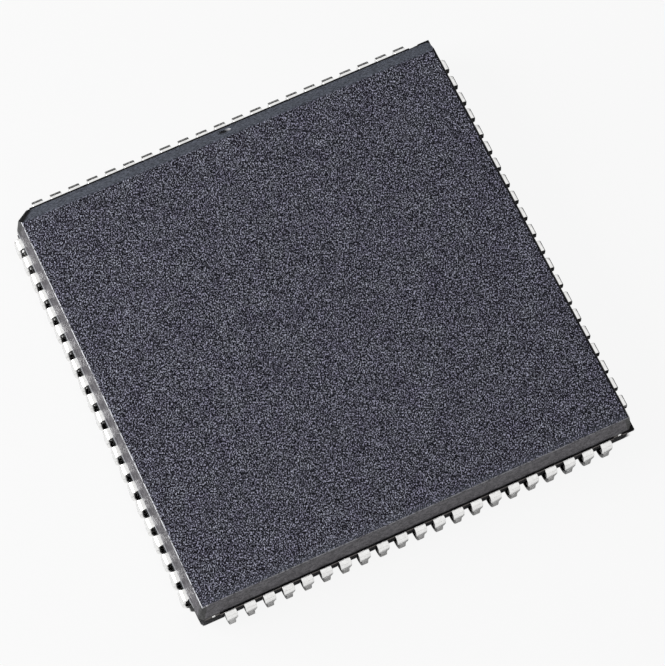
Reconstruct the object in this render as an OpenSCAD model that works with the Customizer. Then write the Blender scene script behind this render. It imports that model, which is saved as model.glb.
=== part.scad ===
// Plastic leaded chip carrier: a square moulded body with J-shaped leads on all four sides.
// Frame: +Z up, origin on the seating plane under the middle of the body, +Y towards the
// pin-one side, index corner at -X +Y. Lengths are in millimetres, angles in degrees.

/* [Package] */
// Leads on each side
leads_per_side = 21; // [19:2:25]
// Distance between neighbouring leads
lead_pitch = 1.27; // [1.2:0.01:1.5]
// Centre of an end lead to the side of the body
row_margin = 1.955; // [1.8:0.005:2.4]
// Seating plane to the top face
package_height = 4.39; // [4.1:0.01:5]
// Seating plane to the underside of the body
standoff = 0.69; // [0.51:0.01:0.8]
// Seating plane to the underside of the lead plate
shoulder_height = 2.24; // [2.1:0.01:2.7]

/* [Moulded body] */
// Lean of the front and of the lower half for release from the mould
draft_angle = 5.6; // [2:0.1:9]
// Lean of the left and right sides above the leads
side_lean = 9.2; // [2:0.1:12]
// Run of the wide bevel along the pin-one side
pin_one_bevel = 1.43; // [0.6:0.01:2]
// Legs of the bevel at the index corner
index_chamfer = 1.07; // [0.8:0.01:1.22]
// Legs of the small bevels at the other corners
corner_chamfer = 0.25; // [0.1:0.01:0.4]
// Mould flash between the leads, outside the side of the body
flash_proud = 0.08; // [0.03:0.01:0.15]
// Length of the flash round the two corners of the right side
flash_ear = 0.7; // [0.4:0.01:0.75]
// Thickness of the flash round those corners
flash_ear_t = 0.15; // [0.1:0.01:0.18]
// Diameter of the pin-one dimple
dimple_d = 0.84; // [0.5:0.01:1.2]
// Depth of the pin-one dimple
dimple_depth = 0.2; // [0.1:0.01:0.25]
// Top of the lead plate to the centre of the pin-one dimple
dimple_rise = 0.8; // [0.7:0.01:1]
// Diameter of an ejector pin mark on the underside
ejector_d = 2.4; // [1:0.1:4]
// Depth of an ejector pin mark
ejector_depth = 0.08; // [0.03:0.01:0.15]
// Distance between neighbouring ejector pin marks
ejector_spacing = 15; // [8:0.5:18]

/* [Leads] */
// Thickness of the lead plate
lead_t = 0.25; // [0.2:0.01:0.28]
// Width of a lead at its shoulder
shoulder_w = 0.74; // [0.6:0.01:0.85]
// Width of a lead at its leg and foot
leg_w = 0.43; // [0.33:0.01:0.53]
// Side of the body to the outer face of the leads
lead_reach = 0.46; // [0.42:0.01:0.6]
// Inside radius of the bend at the shoulder
shoulder_bend_r = 0.08; // [0.05:0.01:0.16]
// Outside radius of the J foot
foot_r = 0.9; // [0.75:0.01:0.95]
// Angle through which the J foot curls
foot_wrap = 170; // [140:1:180]
// Underside of the lead plate to the start of the taper
taper_drop = 0.5; // [0.35:0.01:0.6]
// Length of the taper from shoulder to leg
taper_len = 0.3; // [0.1:0.01:0.4]
// Room round a lead's tip in its pocket
pocket_clearance = 0.12; // [0.05:0.01:0.2]

/* [Lead frame inside the body] */
// How far the full shoulder width runs into the body
anchor_len = 0.6; // [0.3:0.01:1]
// Width of a lead finger behind its anchor
finger_w = 0.5; // [0.3:0.01:0.6]
// Gap between neighbouring finger tips
finger_gap = 0.2; // [0.15:0.01:0.25]
// Edge of the die paddle to the finger tips
tip_gap = 0.5; // [0.3:0.01:1]
// End finger of a side to the corner of the ring of tips
tip_corner_room = 0.75; // [0.6:0.01:1]
// Edge of the die to the edge of its paddle
paddle_margin = 0.8; // [0.3:0.01:1.5]
// Top of the lead plate to the top of the paddle
paddle_drop = 0.3; // [0.2:0.01:0.5]
// Width of a tie bar
tie_w = 0.3; // [0.2:0.01:0.4]
// Width of a tie bar's cut end
tie_end_w = 0.22; // [0.15:0.01:0.3]
// Side of the body to the middle of a tie bar's cut end
tie_end_inset = 0.915; // [0.8:0.005:1]
// How far a tie bar runs on past the branch to its cut end
tie_tail = 0.35; // [0.3:0.01:0.4]

/* [Die and wires] */
// Side of the square silicon die
die_size = 7.6; // [5:0.1:10]
// Thickness of the die
die_t = 0.38; // [0.25:0.01:0.6]
// Thickness of the adhesive under the die
attach_t = 0.03; // [0.02:0.005:0.06]
// Edge of the die to the centre of a bond ball
pad_inset = 0.2; // [0.12:0.01:0.4]
// Thickness of a bond wire
wire_t = 0.03; // [0.02:0.005:0.05]
// Rise of a wire's loop over its straight line
wire_loop = 0.35; // [0.2:0.01:0.5]
// Diameter of a bond ball
ball_d = 0.1; // [0.08:0.01:0.15]
// Height of a bond ball
ball_h = 0.05; // [0.04:0.005:0.08]
// Length of a stitch where a wire ends on its finger
stitch_len = 0.12; // [0.08:0.01:0.2]
// Finger tip to the middle of a stitch
stitch_inset = 0.2; // [0.12:0.01:0.4]

/* [Hidden] */
$fn = 64;

// Turn of each side about Z, from the pin-one side
BACK = 0;
LEFT = 90;
FRONT = 180;
RIGHT = 270;
SIDES = [BACK, LEFT, FRONT, RIGHT];

// Lead places, counted from the middle of a side
last_lead = (leads_per_side - 1) / 2;
lead_numbers = [-last_lead : last_lead];

// Body
half_body = last_lead * lead_pitch + row_margin;
plate_low = shoulder_height;
plate_high = shoulder_height + lead_t;
top_inset = (package_height - plate_high) * tan(draft_angle);
side_inset = (package_height - plate_high) * tan(side_lean);
bottom_inset = (plate_low - standoff) * tan(draft_angle);
flash_half = leads_per_side * lead_pitch / 2;
ear_len = flash_ear + flash_proud;
ear_middle = half_body + (flash_proud - flash_ear) / 2;
cut_span = 4 * half_body;
bevel_angle = atan2(pin_one_bevel, package_height - plate_high);
dimple_back = dimple_rise * tan(bevel_angle);
dimple_r = (dimple_d * dimple_d / 4 + dimple_depth * dimple_depth) / (2 * dimple_depth);

// Leads
outer_face = half_body + lead_reach;
bend_start = outer_face - lead_t - shoulder_bend_r;
anchor_end = half_body - anchor_len;
foot_centre = outer_face - foot_r;
pocket_top = foot_r + pocket_clearance;
pocket_inner = foot_centre - foot_r - pocket_clearance;
pocket_w = leg_w + 2 * pocket_clearance;

// Lead frame, die and wires
half_paddle = die_size / 2 + paddle_margin;
paddle_high = plate_high - paddle_drop;
paddle_low = paddle_high - lead_t;
tip_ring = half_paddle + tip_gap;
tip_pitch = (tip_ring - tip_corner_room) / last_lead;
tip_w = tip_pitch - finger_gap;
tie_end = half_body - tie_end_inset;
die_low = paddle_high + attach_t;
die_high = die_low + die_t;
pad_ring = die_size / 2 - pad_inset;
pad_pitch = (pad_ring - pad_inset) / last_lead;
stitch_ring = tip_ring + stitch_inset;
loop_steps = 6;

// Outline of the body across one pair of sides, as [distance, height] points
function drafted_section(low_reach, high_reach, low_inset, high_inset) = [
    [-low_reach + bottom_inset, standoff],
    [high_reach - bottom_inset, standoff],
    [high_reach, plate_low],
    [high_reach, plate_high],
    [high_reach - high_inset, package_height],
    [-low_reach + low_inset, package_height],
    [-low_reach, plate_high],
    [-low_reach, plate_low]
];

// Distance from the middle to a corner bevel with the given legs
function corner_reach(legs) = (2 * half_body - legs) / sqrt(2);

// A section drawn in [distance, height] and drawn out level, square to its distance axis
module drawn_section(turn, points)
    rotate([0, 0, turn])
        rotate([90, 0, 0])
            linear_extrude(cut_span, center = true)
                polygon(points);

// Drafted block with the pin-one bevel and the four corner bevels
module body_block()
    intersection() {
        drawn_section(0, drafted_section(half_body, half_body, side_inset, side_inset));
        drawn_section(90, drafted_section(half_body, half_body, top_inset, pin_one_bevel));
        drawn_section(45, drafted_section(
            corner_reach(corner_chamfer), corner_reach(corner_chamfer), top_inset, top_inset));
        drawn_section(135, drafted_section(
            corner_reach(corner_chamfer), corner_reach(index_chamfer), top_inset, top_inset));
    }

// Thin web left between the leads on one pair of opposite sides
module flash_web(turn)
    rotate([0, 0, turn])
        translate([-flash_half, -half_body - flash_proud, plate_low])
            cube([2 * flash_half, 2 * (half_body + flash_proud), lead_t]);

// Thin ear of flash round a corner of the right side, at the back (1) or the front (-1)
module corner_flash(end)
    translate([ear_middle, end * ear_middle, (plate_low + plate_high) / 2])
        cube([ear_len, ear_len, flash_ear_t], center = true);

// Middle line of a lead's finger at a distance from the middle of the part
function finger_x(number, distance) =
    number * (tip_pitch + (lead_pitch - tip_pitch) * (distance - tip_ring) / (anchor_end - tip_ring));

// Plan of one lead from its shoulder bend to its tip, pointing to +Y
module finger_plan(number) {
    x = number * lead_pitch;
    tip_x = number * tip_pitch;
    polygon([
        [x - shoulder_w / 2, bend_start],
        [x - shoulder_w / 2, anchor_end],
        [x - finger_w / 2, anchor_end],
        [tip_x - tip_w / 2, tip_ring],
        [tip_x + tip_w / 2, tip_ring],
        [x + finger_w / 2, anchor_end],
        [x + shoulder_w / 2, anchor_end],
        [x + shoulder_w / 2, bend_start]
    ]);
}

module finger(number)
    translate([0, 0, plate_low])
        linear_extrude(lead_t)
            finger_plan(number);

// Strip of lead bent about a level line along X, from pointing out towards pointing up
module bent_strip(inner_r, sweep, width)
    rotate([90, 0, 90])
        rotate_extrude(angle = sweep)
            translate([inner_r, -width / 2])
                square([lead_t, width]);

// Leg of a lead: shoulder width, taper, then leg width down to the foot
module leg() {
    leg_top = plate_low - shoulder_bend_r;
    taper_top = plate_low - taper_drop;
    taper_end = taper_top - taper_len;
    translate([0, outer_face, 0])
        rotate([90, 0, 0])
            linear_extrude(lead_t)
                polygon([
                    [-shoulder_w / 2, leg_top],
                    [-shoulder_w / 2, taper_top],
                    [-leg_w / 2, taper_end],
                    [-leg_w / 2, foot_r],
                    [leg_w / 2, foot_r],
                    [leg_w / 2, taper_end],
                    [shoulder_w / 2, taper_top],
                    [shoulder_w / 2, leg_top]
                ]);
}

// One whole lead: finger, shoulder bend, tapered leg and J foot
module lead(number)
    union() {
        finger(number);
        translate([number * lead_pitch, 0, 0]) {
            translate([0, bend_start, plate_low - shoulder_bend_r])
                bent_strip(shoulder_bend_r, 90, shoulder_w);
            leg();
            translate([0, foot_centre, foot_r])
                rotate([-foot_wrap, 0, 0])
                    bent_strip(foot_r - lead_t, foot_wrap, leg_w);
        }
    }

module lead_row(side)
    color("gainsboro")
        rotate([0, 0, side])
            for (number = lead_numbers)
                lead(number);

// Slots through the flash for one side's leads
module shoulder_slots(side)
    rotate([0, 0, side])
        for (number = lead_numbers)
            translate([number * lead_pitch - shoulder_w / 2, anchor_end, plate_low])
                cube([shoulder_w, anchor_len + lead_reach, lead_t]);

// Pockets in the underside for the tips of one side's leads
module tip_pockets(side)
    rotate([0, 0, side])
        for (number = lead_numbers)
            translate([number * lead_pitch - pocket_w / 2, pocket_inner, 0])
                cube([pocket_w, half_body - pocket_inner, pocket_top]);

// Round hollow in the bevel of the pin-one side
module pin_one_dimple()
    translate([0, half_body - dimple_back, plate_high + dimple_rise])
        rotate([bevel_angle, 0, 0])
            translate([0, dimple_r - dimple_depth, 0])
                sphere(dimple_r);

module ejector_marks()
    for (x = [-1, 1], y = [-1, 1])
        translate([x * ejector_spacing / 2, y * ejector_spacing / 2, 0])
            cylinder(h = standoff + ejector_depth, d = ejector_d);

module moulded_body()
    color([0.27, 0.27, 0.31])
        difference() {
            union() {
                body_block();
                flash_web(0);
                flash_web(90);
                corner_flash(-1);
                corner_flash(1);
            }
            pin_one_dimple();
            ejector_marks();
            for (side = SIDES) {
                tip_pockets(side);
                shoulder_slots(side);
                rotate([0, 0, side])
                    for (number = lead_numbers)
                        finger(number);
                bond_wires(side);
            }
            die_paddle();
            die_attach();
            silicon_die();
        }

// Tie bar along the diagonal from a corner of the paddle up to the lead plate, with a tail
// that anchors it in the moulding and a branch out through the +Y side of the body
module tie_bar() {
    root = (half_paddle - tie_w) * sqrt(2);
    step_start = half_paddle * sqrt(2) + tie_w;
    step_end = step_start + paddle_drop;
    bar_end = tie_end * sqrt(2) + tie_tail;
    rotate([0, 0, 45])
        translate([0, tie_w / 2, 0])
            rotate([90, 0, 0])
                linear_extrude(tie_w)
                    polygon([
                        [root, paddle_low],
                        [step_start, paddle_low],
                        [step_end, plate_low],
                        [bar_end, plate_low],
                        [bar_end, plate_high],
                        [step_end, plate_high],
                        [step_start, paddle_high],
                        [root, paddle_high]
                    ]);
    translate([tie_end - tie_end_w / 2, tie_end, plate_low])
        cube([tie_end_w, tie_end_inset, lead_t]);
}

module die_paddle()
    color("peru")
        intersection() {
            body_block();
            union() {
                translate([-half_paddle, -half_paddle, paddle_low])
                    cube([2 * half_paddle, 2 * half_paddle, lead_t]);
                for (x = [0, 1], y = [0, 1])
                    mirror([x, 0, 0])
                        mirror([0, y, 0])
                            tie_bar();
            }
        }

module die_attach()
    color("darkgray")
        translate([-die_size / 2, -die_size / 2, paddle_high])
            cube([die_size, die_size, attach_t]);

module silicon_die()
    color("slategray")
        translate([-die_size / 2, -die_size / 2, die_low])
            cube([die_size, die_size, die_t]);

// Height of a wire's middle line at the share u of its run, from ball to stitch.
// The loop is highest a third of the way along.
function loop_height(u) =
    (1 - u) * (die_high + ball_h) + u * (plate_high + wire_t) + wire_loop * 6.75 * u * pow(1 - u, 2);

// Slope of that line against a run of the given length
function loop_slope(u, run) =
    (plate_high + wire_t - die_high - ball_h + wire_loop * 6.75 * (1 - u) * (1 - 3 * u)) / run;

// Half of the wire's upright thickness, which keeps it as thick square to its line
function half_upright(u, run) = wire_t / 2 * sqrt(1 + pow(loop_slope(u, run), 2));

// One wire: ball on the die, loop, and stitch on the finger of the same number
module bond_wire(number) {
    ball = [number * pad_pitch, pad_ring];
    stitch = [finger_x(number, stitch_ring), stitch_ring];
    run = norm(stitch - ball);
    turn = atan2(stitch[1] - ball[1], stitch[0] - ball[0]);
    shares = [for (i = [0 : loop_steps]) i / loop_steps];
    translate([ball[0], ball[1], die_high])
        cylinder(h = ball_h, d = ball_d, $fn = 8);
    translate([ball[0], ball[1], 0])
        rotate([0, 0, turn]) {
            translate([0, wire_t / 2, 0])
                rotate([90, 0, 0])
                    linear_extrude(wire_t)
                        polygon(concat(
                            [for (u = shares) [u * run, loop_height(u) + half_upright(u, run)]],
                            [for (u = shares) [(1 - u) * run, loop_height(1 - u) - half_upright(1 - u, run)]]
                        ));
            translate([run - stitch_len / 2, -wire_t, plate_high])
                cube([stitch_len, 2 * wire_t, wire_t]);
        }
}

module bond_wires(side)
    color("gold")
        rotate([0, 0, side])
            for (number = lead_numbers)
                bond_wire(number);

moulded_body();
lead_row(FRONT);  // lead_row_front
lead_row(LEFT);  // lead_row_left
lead_row(BACK);  // lead_row_back
lead_row(RIGHT);  // lead_row_right
die_paddle();
die_attach();
silicon_die();
bond_wires(FRONT);  // bond_wires_front
bond_wires(LEFT);  // bond_wires_left
bond_wires(BACK);  // bond_wires_back
bond_wires(RIGHT);  // bond_wires_right
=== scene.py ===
"""Looks of a plastic leaded chip carrier, built round its packed solids.

Local coordinates of a side: x along the side, y out of the body, z up, with the pin-one side as
the one that is not turned. All lengths are in metres.
"""

import math

import bpy
import numpy as np
from mathutils import Matrix, Vector


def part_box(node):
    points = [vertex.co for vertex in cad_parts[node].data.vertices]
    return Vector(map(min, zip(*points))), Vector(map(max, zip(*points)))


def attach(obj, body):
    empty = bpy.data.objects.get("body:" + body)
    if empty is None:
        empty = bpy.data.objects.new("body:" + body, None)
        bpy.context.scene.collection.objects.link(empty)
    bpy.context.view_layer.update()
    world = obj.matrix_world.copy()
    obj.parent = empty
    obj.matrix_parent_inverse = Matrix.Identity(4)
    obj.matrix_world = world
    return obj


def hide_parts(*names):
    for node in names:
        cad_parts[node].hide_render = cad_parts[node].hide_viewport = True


bl_info = {
    "name": "Leaded chip carrier",
    "version": (1, 0, 0),
    "blender": (4, 5, 0),
    "location": "View3D > Sidebar > Carrier",
    "description": "Moulded body, tinned J leads, inner frame and studio of a chip carrier",
    "category": "Object",
}

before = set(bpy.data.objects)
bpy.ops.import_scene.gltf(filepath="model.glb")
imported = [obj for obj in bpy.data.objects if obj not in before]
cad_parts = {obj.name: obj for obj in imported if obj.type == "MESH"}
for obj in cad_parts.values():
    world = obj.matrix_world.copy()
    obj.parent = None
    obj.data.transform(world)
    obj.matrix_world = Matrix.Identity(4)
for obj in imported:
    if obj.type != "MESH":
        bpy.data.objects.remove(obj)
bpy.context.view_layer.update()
BODY_LOW, BODY_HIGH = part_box("moulded_body")
LEAD_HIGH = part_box("lead_row_right")[1]

MM = 0.001
# Cosine and sine of each side's turn about Z, in order round the body, seen from above
SIDES = {"back": (1, 0), "left": (0, 1), "front": (-1, 0), "right": (0, -1)}
SIDE_NAMES = list(SIDES)
BACK = SIDE_NAMES.index("back")
# A corner has the number of the side that starts at it
INDEX_CORNER = SIDE_NAMES.index("left")
EAR_CORNERS = (SIDE_NAMES.index("back"), SIDE_NAMES.index("right"))


def length(name, description, default):
    """A length that a user may change, in metres."""
    return bpy.props.FloatProperty(
        name=name, description=description, default=default, min=0.0, precision=5, unit="LENGTH")


def share(name, description, default):
    """A plain number from 0 to 1."""
    return bpy.props.FloatProperty(
        name=name, description=description, default=default, min=0.0, max=1.0, subtype="FACTOR")


def colour(name, description, default):
    """A linear colour."""
    return bpy.props.FloatVectorProperty(
        name=name, description=description, default=default, size=3, min=0.0, max=1.0, subtype="COLOR")


class CarrierBody(bpy.types.PropertyGroup):
    """Sizes of the moulded body."""

    flash_proud: length("Flash", "Mould flash between the leads, outside the side", 0.08 * MM)
    half: length("Half width", "Middle of the part to the side of the body", BODY_HIGH.x - 0.08 * MM)
    top: length("Top", "Seating plane to the top face", BODY_HIGH.z)
    underside: length("Underside", "Seating plane to the underside", BODY_LOW.z)
    plate_low: length("Plate underside", "Seating plane to the underside of the lead plate", 2.24 * MM)
    plate_high: length("Plate top", "Seating plane to the top of the lead plate", 2.49 * MM)
    draft: bpy.props.FloatProperty(
        name="Draft", description="Lean of the front and of the lower half", default=math.radians(5.6),
        subtype="ANGLE")
    side_lean: bpy.props.FloatProperty(
        name="Side lean", description="Lean of the left and right sides above the leads",
        default=math.radians(9.2), subtype="ANGLE")
    pin_one_bevel: length("Pin-one bevel", "Run of the wide bevel along the pin-one side", 1.43 * MM)
    index_chamfer: length("Index chamfer", "Legs of the bevel at the index corner", 1.07 * MM)
    corner_chamfer: length("Corner chamfer", "Legs of the bevels at the other corners", 0.25 * MM)
    edge_r: length("Edge radius", "Rounding of the top and bottom edges", 0.06 * MM)
    corner_r: length("Corner rounding", "Rounding of the upright edges", 0.04 * MM)
    flash_half: length("Flash half length", "Middle of a side to the end of its flash", 13.335 * MM)
    flash_ear: length("Flash ear", "Length of the flash round the corners of the right side", 0.7 * MM)
    dimple_d: length("Dimple", "Diameter of the pin-one dimple", 0.84 * MM)
    dimple_depth: length("Dimple depth", "Depth of the pin-one dimple", 0.2 * MM)
    dimple_rise: length("Dimple rise", "Top of the lead plate to the dimple's centre", 0.8 * MM)
    pocket_w: length("Pocket width", "Width of a pocket for a lead's tip", 0.67 * MM)
    pocket_inner: length("Pocket wall", "Middle of the part to a pocket's inner wall", 13.195 * MM)
    pocket_top: length("Pocket roof", "Seating plane to the roof of a pocket", 1.02 * MM)
    ejector_d: length("Ejector mark", "Diameter of an ejector pin mark", 2.4 * MM)
    ejector_depth: length("Ejector depth", "Depth of an ejector pin mark", 0.08 * MM)
    ejector_spacing: length("Ejector spacing", "Distance between ejector pin marks", 15 * MM)


class CarrierLeads(bpy.types.PropertyGroup):
    """Sizes of the leads."""

    per_side: bpy.props.IntProperty(name="Leads per side", description="Leads on each side", default=21, min=3)
    pitch: length("Pitch", "Distance between neighbouring leads", 1.27 * MM)
    thickness: length("Thickness", "Thickness of the lead plate", 0.25 * MM)
    shoulder_w: length("Shoulder width", "Width of a lead at its shoulder", 0.74 * MM)
    leg_w: length("Leg width", "Width of a lead at its leg and foot", 0.43 * MM)
    outer_face: length("Outer face", "Middle of the part to the leads' outer faces", LEAD_HIGH.x)
    bend_r: length("Bend radius", "Inside radius of the bend at the shoulder", 0.08 * MM)
    foot_r: length("Foot radius", "Outside radius of the J foot", 0.9 * MM)
    foot_wrap: bpy.props.FloatProperty(
        name="Foot curl", description="Angle of the J foot", default=math.radians(170), subtype="ANGLE")
    taper_top: length("Taper top", "Seating plane to the start of the taper", 1.74 * MM)
    taper_end: length("Taper end", "Seating plane to the end of the taper", 1.44 * MM)
    anchor: length("Anchor", "Middle of the part to the end of the anchor", 14.055 * MM)
    finger_w: length("Finger width", "Width of a finger behind its anchor", 0.5 * MM)
    tip_ring: length("Tip ring", "Middle of the part to the finger tips", 5.1 * MM)
    tip_pitch: length("Tip pitch", "Distance between neighbouring finger tips", 0.435 * MM)
    tip_w: length("Tip width", "Width of a finger at its tip", 0.235 * MM)
    edge_r: length("Edge radius", "Rounding of the plated edges", 0.035 * MM)
    tie_x: length("Tie bar place", "Middle of a side to a tie bar's cut end", 13.74 * MM)
    tie_w: length("Tie bar width", "Width of a tie bar's cut end", 0.22 * MM)
    tie_proud: length("Tie bar burr", "Burr of a tie bar's cut end outside the side", 0.03 * MM)


class CarrierFinish(bpy.types.PropertyGroup):
    """Colours and grain of the finishes, and the colours of painted shade and highlights."""

    moulding: colour("Moulding", "Smooth sides of the body", (0.054, 0.049, 0.059))
    # Painted shade: the lower half is far darker than the same resin above, for the shade under the leads
    lower: colour("Lower half", "Matte lower half of the body", (0.014, 0.014, 0.016))
    flash: colour("Flash", "Thin flash between the leads", (0.165, 0.15, 0.145))
    # Painted shade: the dark parting line, flash and corner bevels, lead roots, right top edge and left of the
    # dimple
    seam: colour("Seam", "Parting line and resin on the roots of the leads", (0.005, 0.005, 0.006))
    # Painted highlight: the bright line along the left and front top edges, the left parting line and the right of
    # the dimple
    painted_highlight: colour("Worn edge", "Rubbed edges of the top", (0.62, 0.63, 0.66))
    # The grain's own tone, with painted shade in the pits and painted glints on the peaks
    pit_and_shade: colour("Grain, low", "Pits of the spark-eroded top", (0.004, 0.004, 0.006))
    peak_and_glint: colour("Grain, high", "Peaks of the spark-eroded top", (0.545, 0.54, 0.69))
    bevel: colour("Bevel", "Pin-one bevel", (0.08, 0.088, 0.11))
    grain: length("Grain size", "Size of the spark-eroded craters", 0.088 * MM)
    tin: colour("Tin", "Plating of the leads", (0.93, 0.93, 0.92))
    tin_dull: colour("Dull tin", "Dull patches of the plating", (0.78, 0.772, 0.762))
    copper: colour("Copper", "Bare lead frame", (0.72, 0.43, 0.29))
    silicon: colour("Silicon", "Die", (0.17, 0.18, 0.22))
    adhesive: colour("Adhesive", "Silver-filled die adhesive", (0.52, 0.52, 0.5))
    gold: colour("Gold", "Bond wires", (0.9, 0.66, 0.25))


class CarrierStage(bpy.types.PropertyGroup):
    """Studio round the part."""

    paper: colour("Paper", "Floor of the studio", (0.955, 0.955, 0.955))
    shadow: share("Shadow", "Share of the floor's light that the camera sees with its shadow", 0.06)
    mirror_shadow: share("Mirrored shadow", "Share of the floor's light that reflections see with its shadow", 0.2)
    # Painted shadow: length of the dark patch on the floor behind the part that reflections see
    painted_shadow_reach: length("Shadow reach", "Length of the shadow behind the part, as metal shows it", 30 * MM)
    left_power: bpy.props.FloatProperty(
        name="Left softbox", description="Power of the left softbox", default=0.22, unit="POWER")
    top_power: bpy.props.FloatProperty(
        name="Top softbox", description="Power of the top softbox", default=0.35, unit="POWER")
    sky: bpy.props.FloatProperty(name="Sky", description="Strength of the even light", default=0.42, min=0.0)
    horizon: share("Horizon", "Brightness of the room near the horizon, as metal shows it", 0.03)


def turned(points, side):
    """Points in a side's local coordinates, turned about Z to that side."""
    cos, sin = SIDES[side]
    x, y, z = np.moveaxis(np.asarray(points), -1, 0)
    return np.stack([cos * x - sin * y, sin * x + cos * y, z], -1)


def grid_quads(index):
    """Quads between neighbouring entries of a table of point numbers."""
    a, b, c, d = index[:-1, :-1], index[:-1, 1:], index[1:, 1:], index[1:, :-1]
    return np.stack([a, b, c, d], -1).reshape(-1, 4)


def put_mesh(name, points, faces, materials, slot, *nodes, sharp=35, finishes=None):
    """A finished piece at the origin from points and lists of faces, riding the only body; each face
    takes the material with its number in finishes."""
    mesh = bpy.data.meshes.new(name)
    mesh.from_pydata(np.asarray(points, float).reshape(-1, 3), [], [f for table in faces for f in table.tolist()])
    mesh.polygons.foreach_set("use_smooth", np.ones(len(mesh.polygons), bool))
    mesh.set_sharp_from_angle(angle=math.radians(sharp))
    if mesh.validate():
        raise ValueError(f"{name} has faulty faces")
    for material in materials:
        mesh.materials.append(material)
    if finishes is not None:
        mesh.polygons.foreach_set("material_index", finishes.astype(np.int32))
    piece = bpy.data.objects.new(name, mesh)
    bpy.context.scene.collection.objects.link(piece)
    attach(piece, "root")
    if nodes:
        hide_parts(*nodes)
    return piece


def leaning_inset(rise, full_rise, lean, radius):
    """Inset of a leaning side at a rise from the widest outline: rise times the lean's tangent, then
    an arc of the given radius that is tangent to the side and ends level at the full rise."""
    centre_rise = full_rise - radius
    centre_inset = centre_rise * math.tan(lean) + radius / math.cos(lean)
    sine = np.clip((rise - centre_rise) / radius, -1, 1)
    arc = centre_inset - radius * np.sqrt(1 - sine * sine)
    return np.where(sine > math.sin(lean), arc, rise * math.tan(lean))


def bevel_lean(body):
    """Lean of the pin-one bevel from the upright."""
    return math.atan2(body.pin_one_bevel, body.top - body.plate_high)


def body_rows(body):
    """Rows of the body's skin from the underside to the top, as (heights, distances of the four
    sides from the middle, share of the flash, pocket heights, pocket distances)."""
    low_rise, high_rise = body.plate_low - body.underside, body.top - body.plate_high
    turn = np.radians([90, 60, 30, 6.2])
    low_edge = low_rise - body.edge_r + body.edge_r * np.sin(turn)
    roof = body.plate_low - body.pocket_top
    low = np.concatenate([[low_rise] * 3, low_edge, [roof, roof - 0.03 * MM, 0.3 * MM]])
    low_inset = leaning_inset(low, low_rise, body.draft, body.edge_r)
    edge_out = body.half - low_inset[3]
    border = body.pocket_inner - 0.1 * MM
    low_inset[:3] = body.half - np.array([border, body.pocket_inner, (body.pocket_inner + edge_out) / 2])
    band = np.array([0, 0.02, 0.12, 0.88, 0.98, 1]) * (body.plate_high - body.plate_low)
    flash = np.array([0, 0.6, 1, 1, 0.6, 0])
    reach = 0.36 * MM
    turn = np.radians([6.2, 24, 42, 58, 73, 84, 90])
    high = np.concatenate([
        np.array([0.1, 0.22, 0.34]) * MM,
        np.linspace(body.dimple_rise - reach, body.dimple_rise + reach, 15),
        np.array([1.3, 1.5, 1.68]) * MM,
        high_rise - body.edge_r + body.edge_r * np.sin(turn)])
    heights = np.concatenate([body.plate_low - low, body.plate_low + band, body.plate_high + high])
    inset = np.concatenate([low_inset, 0 * band, leaning_inset(high, high_rise, body.draft, body.edge_r)])
    leans = [bevel_lean(body), body.side_lean, body.draft, body.side_lean]
    insets = [np.concatenate([low_inset, 0 * band, leaning_inset(high, high_rise, a, body.edge_r)]) for a in leans]
    out = body.half - np.stack(insets, 1)
    flashes = np.concatenate([0 * low, flash, 0 * high])
    soft = 0.03 * MM
    pocket_high = np.array([
        body.underside, body.underside, body.underside + 0.3 * soft, body.underside + soft,
        body.pocket_top - soft, body.pocket_top - 0.3 * soft, body.pocket_top, body.pocket_top])
    pocket_out = np.array([
        border, body.pocket_inner - soft, body.pocket_inner - 0.3 * soft, body.pocket_inner,
        body.pocket_inner, body.pocket_inner + 0.3 * soft, body.pocket_inner + soft, out[7, 1] - soft])
    return heights, inset, out, flashes, pocket_high, pocket_out


def side_columns(body, leads):
    """Places along a side, from its +x to its -x end, where the skin has a column of points: two on
    each flank of every pocket and slot, and a close set across the dimple; and which of them lie in
    a pocket."""
    last = (leads.per_side - 1) // 2
    middles = np.arange(-last, last + 1) * leads.pitch
    flank = body.pocket_w / 2 + np.array([-0.01, 0.01]) * MM
    edges = np.concatenate([-flank[::-1], flank])
    dimple = np.array([0, 0.07, 0.14, 0.21, 0.27, 0.4, 0.46]) * MM
    places = np.unique(np.concatenate([(middles[:, None] + edges).ravel(), dimple, -dimple]))[::-1]
    nearest = np.abs(places[:, None] - middles).min(1)
    return places, nearest < body.pocket_w / 2


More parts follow.
